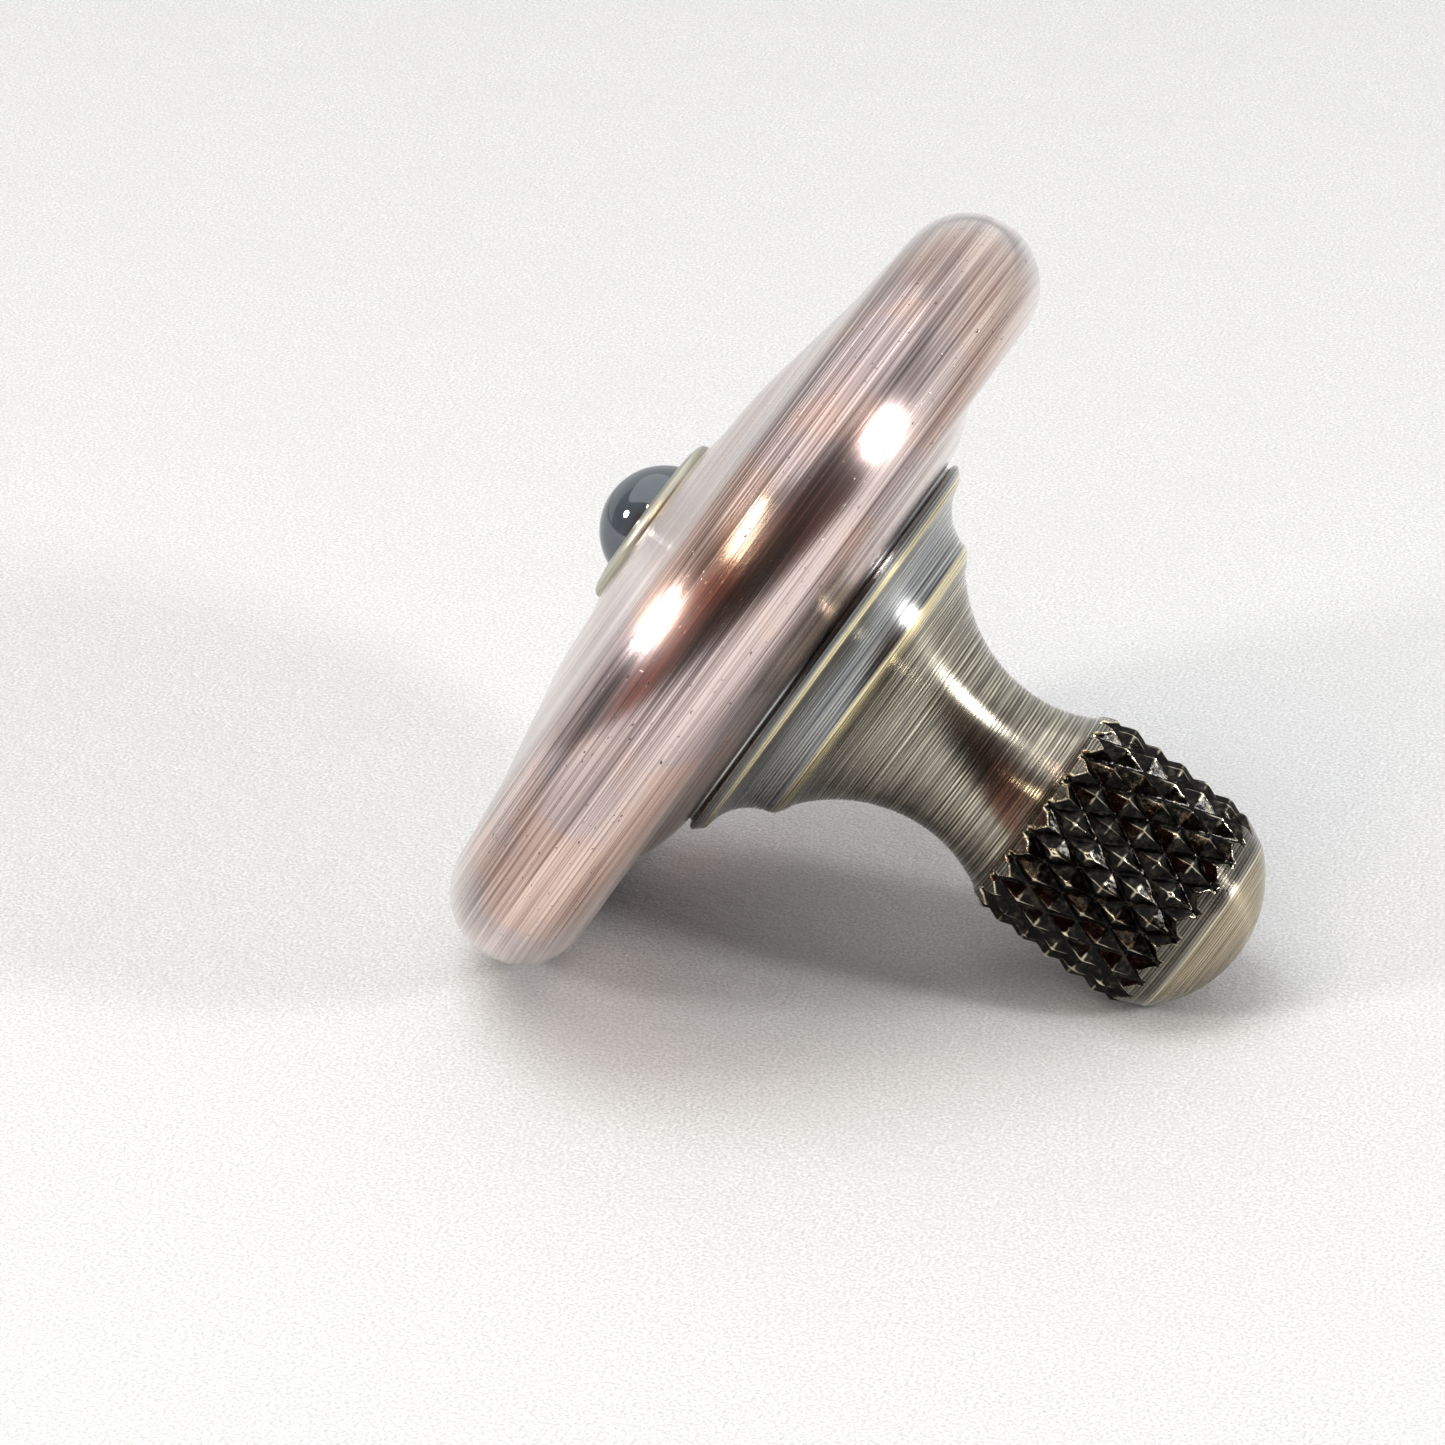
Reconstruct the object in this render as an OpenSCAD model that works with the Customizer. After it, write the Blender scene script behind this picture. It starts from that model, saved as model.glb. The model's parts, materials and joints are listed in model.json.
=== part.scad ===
// Finger-top spinner: a copper flywheel that turns on a sealed ball bearing
// about a knurled brass handle with a ceramic ball at its tip.
// Every module is drawn along the spin axis, z = 0 at the middle of the rim,
// handle towards +z. lay_down() then rests the finished part on the floor.

/* [Flywheel] */
// Outside diameter of the copper flywheel
disc_d = 41; // [40:0.5:46]
// Radius of the full round rim section
rim_r = 3.3; // [3.1:0.05:3.5]
// Axial gap between the flywheel hub and the handle flange
hub_gap = 0.12; // [0.08:0.02:0.2]
// Radial gap between the flywheel and the tip collar
collar_gap = 0.12; // [0.08:0.02:0.2]

/* [Handle] */
// Diameter of the handle flange
flange_d = 20.56; // [19.5:0.1:21.5]
// Smallest diameter of the waisted neck
neck_d = 7.86; // [7:0.1:8.4]
// Diameter over the points of the knurl
knurl_d = 10.94; // [10.5:0.02:11.2]
// Radial depth of the knurl grooves
knurl_depth = 0.54; // [0.4:0.02:0.7]
// Number of diamonds round the knurl
knurl_count = 21; // [16:1:28]
// Radius of the domed end
dome_r = 6; // [5.8:0.1:6.6]

/* [Tip] */
// Diameter of the ceramic ball
ball_d = 6; // [5.8:0.1:6]
// Diameter of the tip collar
collar_d = 8.48; // [8.3:0.1:9]
// Diameter of the screw that holds the collar in the handle
screw_d = 5; // [4:0.5:5]

/* [Bearing] */
// Number of balls in the bearing
ball_count = 10; // [7:1:10]
// Running clearance of each bearing ball in its grooves
groove_play = 0.01; // [0.01:0.005:0.02]

/* [Hidden] */
$fn = 96;

// Colours
copper = [0.69, 0.53, 0.49];
brass = [0.60, 0.55, 0.38];
dark_brass = [0.36, 0.33, 0.26];
steel = [0.72, 0.73, 0.75];
spring_steel = [0.45, 0.46, 0.48];
polymer = [0.78, 0.68, 0.50];
ceramic = [0.20, 0.22, 0.26];

// Sealed quarter-inch bearing, 6.35 x 12.7 x 4.76 mm
race_bore_r = 3.175;
race_outer_r = 6.35;
race_w = 4.7625;
race_half = race_w / 2;
small_ball_r = 0.79375;
pitch_r = 4.7625;
inner_land_r = 4.25;
outer_land_r = 5.28;
shield_seat_r = 5.72;
shield_seat_depth = 0.5;
shield_t = 0.2;
shield_hole_r = inner_land_r + 0.08;
wire_r = 0.12;
wire_ring_r = shield_seat_r - wire_r - 0.01;
slip_fit = 0.01;
shim_t = 0.2;
clamp_z = race_half + shim_t;

// Flywheel section
rim_c = disc_d / 2 - rim_r;
web_z = 3.2;
web_r = 15.4;
hub_round_c = 9.4;
hub_round_r = 7;
hub_top = 4.16;
// Underside from the bore outwards: a low lip, a plateau, a cone and a flat beside the rim
underside = [[3, -5.35], [5.3, -4.95], [8, -4.75], [14, -3.64], [15.6, -3.5]];
bore_r = race_outer_r + slip_fit;
relief_r = 5.7;
relief_depth = 0.3;
ring_t = 0.8;
ring_groove_w = 0.9;
ring_groove_r = race_outer_r + 0.38;

// Rabbet between hub and flange, which closes the gap to dust and light
rabbet_r = 9.95;
rabbet_depth = 0.3;
rabbet_play = 0.15;
recess_z = hub_top - rabbet_depth;

// Handle section
flange_r = flange_d / 2;
flange_z = hub_top + hub_gap;
flange_low_round = 0.25;
flange_bevel = [[flange_r, 4.52], [9.84, 5.02]];
boss_r = 4.1;
cove_c = [9.95, 7.49];
cove_r = 2.465;
tier = [[7.6, 6.6], [7.6, 6.8], [7.54, 7], [7.38, 7.2], [6.94, 7.5]];
neck_r = neck_d / 2;
neck_z = 13.3;
flare_r = 7.3;
upper_flare_r = 6.35;
grip_z = 16.36;
grip_low_r = 4.7;
grip_blank_r = knurl_d / 2 + 0.03;
shoulder_z = 24.5;
crease = [4.56, 25.98];
dome_c = crease[1] - sqrt(pow(dome_r, 2) - pow(crease[0], 2));
tap_play = 0.05;
tap_depth = 9.4;

// Knurl lattice: points stand at even nodes, grooves cross at odd nodes
knurl_step = 1.33;
knurl_rows = 8;
knurl_z = 15.61;
knurl_turn = -1.3;
knurl_tip_r = knurl_d / 2;
knurl_root_r = knurl_tip_r - knurl_depth;
knurl_cols = 2 * knurl_count;

// Tip
ball_r = ball_d / 2;
ball_z = -4.555;
collar_r = collar_d / 2;
collar_top = -2.85;
collar_face = [[0, -5.73], [2.9, -5.73], [3.5, -5.66], [4, -5.56], [4.18, -5.42], [collar_r, -5.25]];
screw_r = screw_d / 2;
screw_top = 8.6;

// Lying angle: the floor touches the rim and the crease of the domed end
reach = rim_c - crease[0];
tilt = atan2(reach, crease[1]) + asin(rim_r / norm([crease[1], reach]));
axis_height = rim_c * cos(tilt) + rim_r;
x_max = dome_c * cos(tilt) + dome_r;
x_min = -rim_c * sin(tilt) - rim_r;

module lay_down() {
    translate([-(x_max + x_min) / 2, 0, axis_height])
        rotate([0, 90 + tilt, 0])
            children();
}

// A rectangle in the section plane from radius r0 to r1 and height z0 to z1
module block(r0, r1, z0, z1) {
    translate([r0, z0])
        square([r1 - r0, z1 - z0]);
}

// A ring made by turning a rectangle about the axis
module ring(r0, r1, z0, z1) {
    rotate_extrude()
        block(r0, r1, z0, z1);
}

// ---------- handle ----------

module handle_section() {
    block(0, boss_r, clamp_z, flange_z + 0.5);
    block(0, rabbet_r, flange_z - rabbet_depth, flange_z + 0.5);
    polygon(concat([[0, flange_z + flange_low_round], [flange_r, flange_z + flange_low_round]],
                   flange_bevel, [[0, flange_bevel[1][1]]]));
    block(0, flange_r - flange_low_round, flange_z, flange_z + 0.3);
    intersection() {
        translate([flange_r - flange_low_round, flange_z + flange_low_round])
            circle(flange_low_round);
        block(0, flange_r, flange_z, flange_z + flange_low_round);
    }
    difference() {
        block(0, flange_bevel[1][0], 4.7, 6.9);
        translate(cove_c)
            circle(cove_r);
    }
    polygon(concat([[0, tier[0][1]]], tier, [[0, tier[4][1]]]));
    difference() {
        block(0, 7.1, 6.9, neck_z);
        translate([neck_r + flare_r, neck_z])
            circle(flare_r);
    }
    difference() {
        block(0, 5, neck_z, grip_z + 0.2);
        translate([neck_r + upper_flare_r, neck_z])
            circle(upper_flare_r);
    }
}

module grip_section() {
    polygon([[0, grip_z], [grip_low_r, grip_z], [5.02, 16.72], [5.32, 17.4],
             [grip_blank_r, 17.85], [grip_blank_r, shoulder_z - 0.5], [5.3, shoulder_z],
             crease, [0, crease[1]]]);
}

module dome_section() {
    intersection() {
        translate([0, dome_c])
            circle(dome_r);
        block(0, dome_r, crease[1], crease[1] + dome_r);
    }
}

function lattice_r(i, j) = ((i + j) % 2 == 0) ? knurl_tip_r : knurl_root_r;

function lattice_point(i, j) =
    let (a = knurl_turn + i * 360 / knurl_cols, r = lattice_r(i, j))
    [r * cos(a), r * sin(a), knurl_z + j * knurl_step];

function lattice_index(i, j) = j * knurl_cols + (i % knurl_cols);

// The two triangles of one cell, split along the groove that crosses it
function cell_faces(i, j) =
    let (a = lattice_index(i, j),
         b = lattice_index(i + 1, j),
         c = lattice_index(i + 1, j + 1),
         d = lattice_index(i, j + 1))
    ((i + j) % 2 == 0) ? [[a, d, b], [b, d, c]] : [[a, c, b], [a, d, c]];

module knurl_lattice() {
    low_centre = knurl_cols * (knurl_rows + 1);
    high_centre = low_centre + 1;
    points = concat(
        [for (j = [0 : knurl_rows], i = [0 : knurl_cols - 1]) lattice_point(i, j)],
        [[0, 0, knurl_z], [0, 0, knurl_z + knurl_rows * knurl_step]]);
    faces = concat(
        [for (j = [0 : knurl_rows - 1], i = [0 : knurl_cols - 1], k = [0, 1])
            cell_faces(i, j)[k]],
        [for (i = [0 : knurl_cols - 1])
            [lattice_index(i, 0), lattice_index(i + 1, 0), low_centre]],
        [for (i = [0 : knurl_cols - 1])
            [lattice_index(i + 1, knurl_rows), lattice_index(i, knurl_rows), high_centre]]);
    polyhedron(points = points, faces = faces);
}

module knurled_handle() {
    color(dark_brass)
        lay_down()
            difference() {
                union() {
                    rotate_extrude()
                        handle_section();
                    intersection() {
                        rotate_extrude()
                            grip_section();
                        knurl_lattice();
                    }
                    rotate_extrude()
                        dome_section();
                }
                translate([0, 0, clamp_z - 1])
                    cylinder(h = tap_depth + 1 - clamp_z, r = screw_r + tap_play);
                translate([0, 0, clamp_z - 0.01])
                    cylinder(h = 0.5, r1 = screw_r + 0.5, r2 = screw_r);
            }
}

// ---------- parts clamped to the handle ----------

module race_shims() {
    color(steel)
        lay_down()
            for (z = [race_half, -race_half - shim_t])
                ring(race_bore_r + 0.02, boss_r - 0.1, z, z + shim_t);
}

module inner_race() {
    color(steel)
        lay_down()
            rotate_extrude()
                difference() {
                    block(race_bore_r, inner_land_r, -race_half, race_half);
                    translate([pitch_r, 0])
                        circle(small_ball_r + groove_play);
                }
}

module tip_screw_section() {
    // threaded end and the plain shank through the inner race
    block(0, screw_r, 2, screw_top);
    block(0, race_bore_r - slip_fit, -race_half - 1, clamp_z - 0.08);
    // collar, stepped down to bear on the lower shim only
    block(0, boss_r - 0.1, -3.2, -clamp_z);
    polygon(concat(collar_face, [[collar_r, collar_top], [0, collar_top]]));
}

module tip_screw() {
    color(brass)
        lay_down()
            difference() {
                rotate_extrude()
                    tip_screw_section();
                translate([0, 0, ball_z])
                    sphere(ball_r + slip_fit);
            }
}

module tip_ball() {
    color(ceramic)
        lay_down()
            translate([0, 0, ball_z])
                sphere(ball_r);
}

// ---------- flywheel ----------

// The flywheel before its bores are cut: rim, web, coned underside and hub
module flywheel_blank() {
    rotate_extrude()
        translate([rim_c, 0])
            circle(rim_r);
    rotate_extrude()
        polygon(concat(underside, [[rim_c, 0.02 - rim_r], [rim_c, rim_r - 0.02],
                                   [web_r, web_z], [3, web_z]]));
    rotate_extrude()
        intersection() {
            translate([hub_round_c, hub_top - hub_round_r])
                circle(hub_round_r);
            block(hub_round_c, 14, 1, hub_top + 1);
        }
    ring(3, hub_round_c, 1, hub_top);
}

module copper_flywheel() {
    color(copper)
        lay_down()
            difference() {
                flywheel_blank();
                // bearing bore, open towards the handle
                translate([0, 0, -race_half])
                    cylinder(h = 10, r = bore_r);
                // relief that keeps the shoulder off the shield and the inner race
                translate([0, 0, -race_half - relief_depth])
                    cylinder(h = 1, r = relief_r);
                // running hole for the tip collar
                translate([0, 0, -8])
                    cylinder(h = 10, r = collar_r + collar_gap);
                // groove for the retaining ring
                translate([0, 0, race_half])
                    cylinder(h = ring_groove_w, r = ring_groove_r);
                // recess for the rabbet under the flange
                translate([0, 0, recess_z])
                    cylinder(h = 1, r = rabbet_r + rabbet_play);
                // chamfer at the mouth of the bore
                translate([0, 0, recess_z - 0.2])
                    cylinder(h = 0.3, r1 = bore_r, r2 = bore_r + 0.3);
            }
}

module outer_race() {
    color(steel)
        lay_down()
            rotate_extrude()
                difference() {
                    block(outer_land_r, race_outer_r, -race_half, race_half);
                    translate([pitch_r, 0])
                        circle(small_ball_r + groove_play);
                    for (side = [-1, 1])
                        translate([outer_land_r - 1, side * race_half - shield_seat_depth])
                            square([shield_seat_r - outer_land_r + 1, 2 * shield_seat_depth]);
                }
}

// A dished shield: a flat disc with a shallow raised step near its bore
module shield() {
    z = race_half - shield_seat_depth;
    ring(4.75, shield_seat_r - 0.02, z, z + shield_t);
    ring(shield_hole_r, 4.85, z + shield_t / 2, z + 1.5 * shield_t);
}

module shield_handle_side() {
    color(steel)
        lay_down()
            shield();
}

module shield_tip_side() {
    color(steel)
        lay_down()
            rotate([180, 0, 0])
                shield();
}

module shield_wires() {
    color(spring_steel)
        lay_down()
            for (turn = [0, 180])
                rotate([turn, 0, 0])
                    translate([0, 0, race_half - shield_seat_depth + shield_t + wire_r])
                        rotate([0, 0, 20])
                            rotate_extrude(angle = 330)
                                translate([wire_ring_r, 0])
                                    circle(wire_r, $fn = 24);
}

// Internal retaining ring with two lugs for pliers
module retaining_ring() {
    ring_r = ring_groove_r - 0.03;
    color(spring_steel)
        lay_down()
            translate([0, 0, race_half])
                linear_extrude(ring_t)
                    difference() {
                        union() {
                            difference() {
                                circle(ring_r);
                                translate([0, -0.12])
                                    circle(ring_r - 0.78);
                            }
                            for (side = [-1, 1])
                                translate([side * 1.15, 5.55])
                                    circle(0.6, $fn = 32);
                        }
                        translate([-0.45, 4])
                            square([0.9, 4]);
                        for (side = [-1, 1])
                            translate([side * 1.15, 5.45])
                                circle(0.26, $fn = 24);
                    }
}

// ---------- rolling set ----------

module bearing_cage() {
    color(polymer)
        lay_down()
            difference() {
                ring(4.37, 5.16, -1.2, 0.42);
                for (k = [0 : ball_count - 1])
                    rotate([0, 0, k * 360 / ball_count])
                        translate([pitch_r, 0, 0])
                            sphere(small_ball_r + 0.03, $fn = 48);
            }
}

module bearing_balls() {
    color(ceramic)
        lay_down()
            for (k = [0 : ball_count - 1])
                rotate([0, 0, k * 360 / ball_count])
                    translate([pitch_r, 0, 0])
                        sphere(small_ball_r, $fn = 48);
}

knurled_handle();
race_shims();
inner_race();
tip_screw();
tip_ball();
copper_flywheel();
outer_race();
shield_handle_side();
shield_tip_side();
shield_wires();
retaining_ring();
bearing_cage();
bearing_balls();
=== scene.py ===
import json
import math

import bpy
import numpy as np
from mathutils import Matrix, Vector


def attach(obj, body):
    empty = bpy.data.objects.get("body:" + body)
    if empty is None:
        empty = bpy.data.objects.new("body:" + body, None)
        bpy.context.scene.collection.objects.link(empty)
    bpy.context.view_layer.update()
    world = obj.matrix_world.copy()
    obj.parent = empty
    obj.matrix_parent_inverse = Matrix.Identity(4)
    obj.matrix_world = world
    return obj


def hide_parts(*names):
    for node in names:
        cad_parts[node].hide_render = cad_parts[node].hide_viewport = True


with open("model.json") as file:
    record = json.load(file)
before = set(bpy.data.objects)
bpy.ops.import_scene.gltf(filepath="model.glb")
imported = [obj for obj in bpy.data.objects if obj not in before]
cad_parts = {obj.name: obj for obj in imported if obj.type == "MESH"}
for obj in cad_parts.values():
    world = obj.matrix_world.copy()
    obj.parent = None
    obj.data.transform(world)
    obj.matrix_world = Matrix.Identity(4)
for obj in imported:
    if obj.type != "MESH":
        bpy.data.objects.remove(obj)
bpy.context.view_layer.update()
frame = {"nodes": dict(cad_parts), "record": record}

MM = 0.001
TURN = 2 * math.pi

# ---------- the spin axis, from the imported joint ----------

spin = next(j for j in frame["record"]["behaviour"]["joints"] if j["name"] == "flywheel_spin")
axis_z = Vector(spin["axis"]).normalized()
axis_y = Vector((0, 1, 0))
axis_x = axis_y.cross(axis_z).normalized()
axis_origin = Vector(spin["pos_m"])
to_world = Matrix((
    (axis_x.x, axis_y.x, axis_z.x, axis_origin.x),
    (axis_x.y, axis_y.y, axis_z.y, axis_origin.y),
    (axis_x.z, axis_y.z, axis_z.z, axis_origin.z),
    (0, 0, 0, 1)))
axis_euler = to_world.to_euler()


# ---------- profile helpers, all in millimetres ----------

def arc(cx, cy, radius, start, end, steps):
    """Points on a circle of the section plane, angles in degrees."""
    angles = np.radians(np.linspace(start, end, steps))
    return [(cx + radius * math.cos(t), cy + radius * math.sin(t)) for t in angles]


def refine(points, step):
    """The same polyline with points no further apart than step."""
    out = [points[0]]
    for a, b in zip(points, points[1:]):
        n = max(1, math.ceil(math.dist(a, b) / step))
        for k in range(1, n + 1):
            out.append((a[0] + (b[0] - a[0]) * k / n, a[1] + (b[1] - a[1]) * k / n))
    return out


def soften(points, reach, steps=5):
    """The same polyline with its inner corners cut back by reach and rounded."""
    out = [points[0]]
    for a, b, c in zip(points, points[1:], points[2:]):
        before, after = min(reach, 0.45 * math.dist(a, b)), min(reach, 0.45 * math.dist(b, c))
        p = [b[i] + (a[i] - b[i]) * before / math.dist(a, b) for i in (0, 1)]
        q = [b[i] + (c[i] - b[i]) * after / math.dist(b, c) for i in (0, 1)]
        for t in np.linspace(0, 1, steps):
            out.append(tuple((1 - t) ** 2 * p[i] + 2 * t * (1 - t) * b[i] + t * t * q[i] for i in (0, 1)))
    return out + [points[-1]]


def without_repeats(points, gap=1e-4):
    """The same polyline without points closer than gap to the one before."""
    out = [points[0]]
    for p in points[1:]:
        if math.dist(p, out[-1]) > gap:
            out.append(p)
    return out


def arc_length(points):
    """How far along the polyline each point lies."""
    steps = [math.dist(a, b) for a, b in zip(points, points[1:])]
    return np.concatenate([[0.0], np.cumsum(steps)])


def turned(name, rows, segments, radius=None, split=None, closed=False, sharp=30, attributes=None,
           start=0.0):
    """A surface of revolution about the spin axis, in the row frame.

    rows are (r, z) in mm, and closed joins the last to the first. radius(r, z, angles) may change
    the radius of every vertex. split(i, j) says how the quad after row i and column j is cut: 0
    leaves it whole, 1 and 2 are its two diagonals. attributes are named fields of (r, z, angles)
    stored on the vertices. Edges sharper than sharp degrees aren't smoothed.
    """
    n, m = len(rows), segments
    angles = start + np.arange(m) * TURN / m
    r = np.repeat(np.array([p[0] for p in rows])[:, None], m, axis=1)
    z = np.repeat(np.array([p[1] for p in rows])[:, None], m, axis=1)
    if radius is not None:
        r = radius(r, z, angles)
    xyz = np.stack([r * np.cos(angles), r * np.sin(angles), z], axis=-1) * MM
    rot = np.array(to_world.to_3x3())
    world = xyz.reshape(-1, 3) @ rot.T + np.array(axis_origin)

    last = n if closed else n - 1
    i, j = np.meshgrid(np.arange(last), np.arange(m), indexing="ij")
    i2, j2 = (i + 1) % n, (j + 1) % m
    a, b, c, d = i * m + j, i * m + j2, i2 * m + j2, i2 * m + j
    length = arc_length(rows + ([rows[0]] if closed else []))
    u0, u1 = j / m, (j + 1) / m
    v0, v1 = length[i], length[i + 1]
    quads = np.stack([a, b, c, d], -1)
    uvs = np.stack([np.stack([u0, v0], -1), np.stack([u1, v0], -1),
                    np.stack([u1, v1], -1), np.stack([u0, v1], -1)], -2)
    kind = np.zeros((last, m), int) if split is None else split(i, j)
    loops, loop_uv, sizes = [], [], []
    for cut, corners in ((0, [(0, 1, 2, 3)]), (1, [(0, 1, 2), (0, 2, 3)]), (2, [(0, 1, 3), (1, 2, 3)])):
        sel = kind == cut
        if not sel.any():
            continue
        for face in corners:
            loops.append(quads[sel][:, face].ravel())
            loop_uv.append(uvs[sel][:, face, :].reshape(-1, 2))
            sizes.append(np.full(sel.sum(), len(face)))
    loops, loop_uv, sizes = np.concatenate(loops), np.concatenate(loop_uv), np.concatenate(sizes)

    mesh = bpy.data.meshes.new(name)
    mesh.vertices.add(len(world))
    mesh.vertices.foreach_set("co", world.ravel())
    mesh.loops.add(len(loops))
    mesh.loops.foreach_set("vertex_index", loops)
    mesh.polygons.add(len(sizes))
    mesh.polygons.foreach_set("loop_start", np.concatenate([[0], np.cumsum(sizes)[:-1]]))
    uv = mesh.uv_layers.new(name="Turn")
    uv.data.foreach_set("uv", loop_uv.ravel())
    for key, values in (attributes or {}).items():
        layer = mesh.attributes.new(key, "FLOAT", "POINT")
        layer.data.foreach_set("value", values(r, z, angles).ravel())
    mesh.update(calc_edges=True)
    mesh.validate()
    mesh.shade_smooth()
    mesh.set_sharp_from_angle(angle=math.radians(sharp))
    obj = bpy.data.objects.new(name, mesh)
    bpy.context.collection.objects.link(obj)
    return obj


# ---------- material helpers ----------

class Nodes:
    """A small builder for the node tree of a material or of the world."""

    def __init__(self, owner):
        self.owner = owner
        owner.use_nodes = True
        self.tree = owner.node_tree
        self.tree.nodes.clear()

    def add(self, kind, inputs=None, **props):
        node = self.tree.nodes.new(kind)
        for key, value in props.items():
            setattr(node, key, value)
        for key, value in (inputs or {}).items():
            if isinstance(value, bpy.types.NodeSocket):
                self.tree.links.new(value, node.inputs[key])
            else:
                node.inputs[key].default_value = value
        return node

    def math(self, op, a, b=0.0, clamp=False):
        """One step of arithmetic, named as the Math node names it."""
        return self.add("ShaderNodeMath", {0: a, 1: b}, operation=op, use_clamp=clamp).outputs[0]

    def sum(self, *terms, offset=0.0):
        """offset plus each value times its weight."""
        total = None
        for value, weight in terms:
            total = self.add("ShaderNodeMath", {0: value, 1: weight, 2: offset if total is None else total},
                             operation="MULTIPLY_ADD").outputs[0]
        return total

    def mix(self, factor, a, b):
        """The colour a where factor is 0 and b where it is 1."""
        node = self.add("ShaderNodeMix", data_type="RGBA")
        for key, value in (("Factor", factor), ("A", a), ("B", b)):
            socket = next(s for s in node.inputs if s.name == key and (key == "Factor" or s.type == "RGBA")
                          and s.enabled)
            if isinstance(value, bpy.types.NodeSocket):
                self.tree.links.new(value, socket)
            else:
                socket.default_value = value
        return next(s for s in node.outputs if s.type == "RGBA")

    def span(self, value, low, high, to_low=0.0, to_high=1.0):
        """A smooth step from to_low to to_high as value goes from low to high."""
        node = self.add("ShaderNodeMapRange", {"Value": value, "From Min": low, "From Max": high,
                                               "To Min": to_low, "To Max": to_high})
        node.interpolation_type = "SMOOTHSTEP"
        return node.outputs["Result"]

    def ramp(self, value, *stops):
        """A colour ramp through stops of position and colour."""
        node = self.add("ShaderNodeValToRGB", {"Fac": value})
        elements = node.color_ramp.elements
        while len(elements) < len(stops):
            elements.new(0.5)
        for element, (position, colour) in zip(elements, sorted(stops)):
            element.position = position
            element.color = tuple(colour) + (1,)
        return node.outputs["Color"]

    def noise(self, vector, scale, detail=3.0, rough=0.55):
        return self.add("ShaderNodeTexNoise", {"Vector": vector, "Scale": scale, "Detail": detail,
                                               "Roughness": rough}).outputs["Fac"]

    def attribute(self, name):
        """A number stored on the mesh."""
        return self.add("ShaderNodeAttribute", attribute_name=name).outputs["Fac"]

    def turn_vector(self, along, around):
        """Noise coordinates from the Turn UV map: so much per mm of section, so much round the axis."""
        uv = self.add("ShaderNodeUVMap", uv_map="Turn").outputs["UV"]
        split = self.add("ShaderNodeSeparateXYZ", {0: uv})
        angle = self.math("MULTIPLY", split.outputs["X"], TURN)
        x = self.math("MULTIPLY", self.math("COSINE", angle), around)
        y = self.math("MULTIPLY", self.math("SINE", angle), around)
        z = self.math("MULTIPLY", split.outputs["Y"], along)
        return self.add("ShaderNodeCombineXYZ", {"X": x, "Y": y, "Z": z}).outputs[0]

    def axis_vector(self):
        """Position in millimetres in the spin axis's own frame."""
        pos = self.add("ShaderNodeTexCoord").outputs["Object"]
        return self.add("ShaderNodeMapping", {"Vector": pos, "Location": axis_origin,
                                              "Rotation": axis_euler, "Scale": (MM, MM, MM)},
                        vector_type="TEXTURE").outputs[0]

    def finish(self, colour, rough, height, bump, bump_distance, metallic=1.0, anisotropic=0.0, **sockets):
        """The material with its Principled shader. bump_distance is in metres."""
        inputs = {"Base Color": colour, "Roughness": rough, "Metallic": metallic}
        if anisotropic:
            # the finish is cut round the axis, so a highlight spreads along the section
            inputs["Anisotropic"] = anisotropic
            inputs["Anisotropic Rotation"] = 0.25
            inputs["Tangent"] = self.add("ShaderNodeTangent", direction_type="UV_MAP",
                                         uv_map="Turn").outputs[0]
        inputs["Normal"] = self.add("ShaderNodeBump", {"Height": height, "Strength": bump,
                                                       "Distance": bump_distance}).outputs[0]
        inputs.update(sockets)
        shader = self.add("ShaderNodeBsdfPrincipled", inputs)
        self.add("ShaderNodeOutputMaterial", {"Surface": shader.outputs[0]})
        return self.owner


def material_nodes(name):
    return Nodes(bpy.data.materials.new(name))


def copper_material():
    n = material_nodes("aged_copper")
    hair = n.noise(n.turn_vector(13.0, 0.9), 1.0, 2.0, 0.65)
    lines = n.noise(n.turn_vector(6.5, 0.45), 1.0, 3.0, 0.65)
    rings = n.noise(n.turn_vector(2.6, 0.12), 1.0, 5.0, 0.75)
    bands = n.noise(n.turn_vector(0.7, 0.7), 1.0, 3.0, 0.55)
    cloud = n.noise(n.axis_vector(), 0.13, 3.0, 0.55)
    pits = n.noise(n.turn_vector(6.0, 70.0), 1.0, 2.0, 0.5)
    tone = n.sum((hair, 1.3), (lines, 1.2), (rings, 1.3), (bands, 1.7), offset=-2.30)
    grey = n.ramp(tone, (0.05, (0.17, 0.14, 0.14)), (0.5, (0.50, 0.40, 0.39)), (0.95, (0.88, 0.74, 0.70)))
    rosy = n.ramp(tone, (0.05, (0.22, 0.135, 0.11)), (0.5, (0.59, 0.42, 0.36)), (0.95, (0.96, 0.77, 0.66)))
    colour = n.mix(n.span(cloud, 0.42, 0.58), grey, rosy)
    # painted sheen: towards the grazing edges the copper's colour is lightened to a pale tint, standing in
    # for brighter reflection there
    facing = n.add("ShaderNodeLayerWeight", {"Blend": 0.35}).outputs["Facing"]
    colour = n.mix(n.span(facing, 0.40, 1.0, 0.0, 0.60), colour, (0.94, 0.88, 0.85, 1))
    pit = n.math("MULTIPLY", n.span(pits, 0.67, 0.73), n.span(lines, 0.46, 0.54))
    colour = n.mix(pit, colour, (0.10, 0.08, 0.075, 1))
    rough = n.span(tone, 0.2, 0.8, 0.245, 0.185)
    height = n.sum((hair, 0.6), (lines, 0.7), (rings, 0.7), (pit, -0.8))
    return n.finish(colour, rough, height=height, bump=0.8, bump_distance=0.000009, anisotropic=0.86)


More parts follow.
